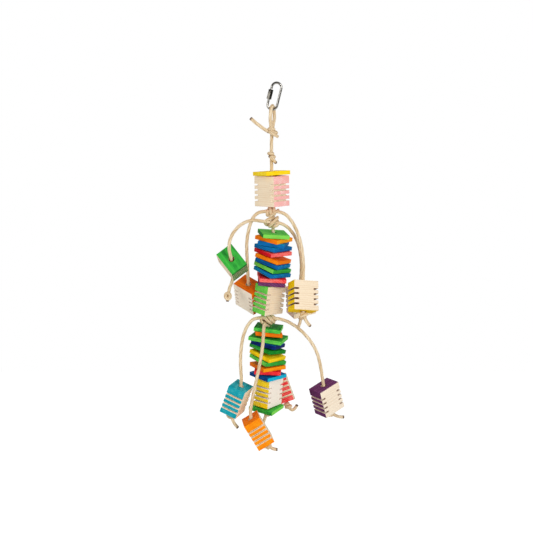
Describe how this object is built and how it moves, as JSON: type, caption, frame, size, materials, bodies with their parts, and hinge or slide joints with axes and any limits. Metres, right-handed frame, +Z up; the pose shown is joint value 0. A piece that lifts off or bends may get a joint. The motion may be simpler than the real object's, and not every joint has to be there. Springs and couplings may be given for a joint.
{
  "type": "hanging bird chew toy",
  "caption": "Hanging wooden chew toy for pet birds: dyed slats and grooved blocks threaded on knotted natural rope below a steel quick link.",
  "frame": {"origin": "the hang point, inside the top bend of the quick link, where the object rests on its hook or cage bar", "axes": "+Z up along the hanging rope, +X to the right and +Y to the back as seen from the front; the open side of the quick link is on the left"},
  "size_m": [0.2145, 0.1522, 0.6052],
  "materials": {
    "wood_red": "red food-dye stain, grain shows through",
    "wood_pink": "pink food-dye stain, grain shows through",
    "wood_orange": "orange food-dye stain, grain shows through",
    "wood_yellow": "yellow food-dye stain, grain shows through",
    "wood_green": "green food-dye stain, grain shows through",
    "wood_dark_green": "dark green food-dye stain, grain shows through",
    "wood_teal": "teal food-dye stain, grain shows through",
    "wood_blue": "blue food-dye stain, grain shows through",
    "wood_dark_blue": "dark blue food-dye stain, grain shows through",
    "wood_purple": "purple food-dye stain, grain shows through",
    "rope": "pale tan twisted natural fibre, matt, brown at the cut ends",
    "plated_steel": "bright plated steel"
  },
  "bodies": {
    "link": {"quick_link": "plated_steel"},
    "nut": {"link_nut": "plated_steel"},
    "toy": {"base_slat": "wood_green", "cap_slat": "wood_yellow", "centre_block": "wood_green", "lower_block": "wood_yellow", "lower_orange_block": "wood_orange", "lower_purple_block": "wood_purple", "lower_red_block": "wood_red", "lower_rope_1": "rope", "lower_rope_2": "rope", "lower_slat_01_green": "wood_green", "lower_slat_02_orange": "wood_orange", "lower_slat_03_long_green": "wood_green", "lower_slat_04_dark_blue": "wood_dark_blue", "lower_slat_05_dark_green": "wood_dark_green", "lower_slat_06_yellow": "wood_yellow", "lower_slat_07_green": "wood_green", "lower_slat_08_orange": "wood_orange", "lower_slat_09_red": "wood_red", "lower_slat_10_blue": "wood_blue", "lower_stopper_knots": "rope", "lower_teal_block": "wood_teal", "lower_tie_knot": "rope", "main_rope": "rope", "main_rope_knots": "rope", "top_block": "wood_pink", "upper_green_block": "wood_green", "upper_orange_block": "wood_orange", "upper_pink_block": "wood_pink", "upper_rope_1": "rope", "upper_rope_2": "rope", "upper_slat_01_green": "wood_green", "upper_slat_02_orange": "wood_orange", "upper_slat_03_blue": "wood_blue", "upper_slat_04_blue": "wood_blue", "upper_slat_05_red": "wood_red", "upper_slat_06_orange": "wood_orange", "upper_slat_07_blue": "wood_blue", "upper_slat_08_green": "wood_green", "upper_slat_09_blue": "wood_blue", "upper_slat_10_red": "wood_red", "upper_slat_11_purple": "wood_purple", "upper_stopper_knots": "rope", "upper_tie_knots": "rope", "upper_yellow_block": "wood_yellow"}
  },
  "joints": [
    {"name": "nut_slide", "type": "slide", "parent": "link", "child": "nut", "axis": [-0.2419, 0, -0.9703], "range_m": [0, 0.007]},
    {"name": "toy_swing", "type": "hinge", "parent": "link", "child": "toy", "pos_m": [-0.0067, 0, -0.04016], "axis": [1, 0, 0], "range_deg": [-45, 45]}
  ]
}
